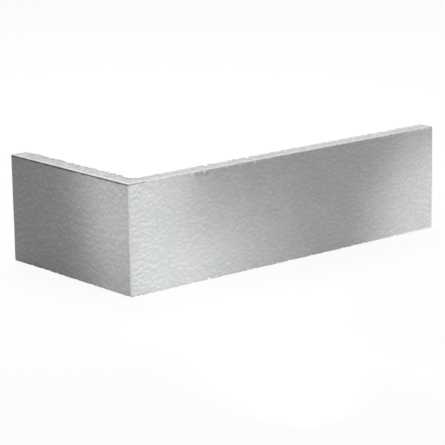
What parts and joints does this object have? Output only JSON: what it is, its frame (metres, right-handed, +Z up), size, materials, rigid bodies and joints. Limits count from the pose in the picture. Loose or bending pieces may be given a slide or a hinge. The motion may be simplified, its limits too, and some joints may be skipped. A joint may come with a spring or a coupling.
{
  "type": "corner brick slip",
  "caption": "L-shaped fired clay slip for an outside wall corner, with smooth satin faces, raw wire-cut beds and a back keyed with undercut grooves for adhesive.",
  "frame": {"origin": "middle of the box around the slip, on the floor that its lower bed stands on", "axes": "+X along the long leg, away from the outside corner; +Y along the short leg, away from the outside corner; +Z up, from the lower bed to the upper bed"},
  "size_m": [0.24, 0.115, 0.065],
  "materials": {
    "clinker": "satin grey engobe with a fine orange-peel grain on the faces, matt pale raw clay on the beds, ends and back"
  },
  "bodies": {
    "root": {"corner_slip": "clinker"}
  },
  "joints": []
}
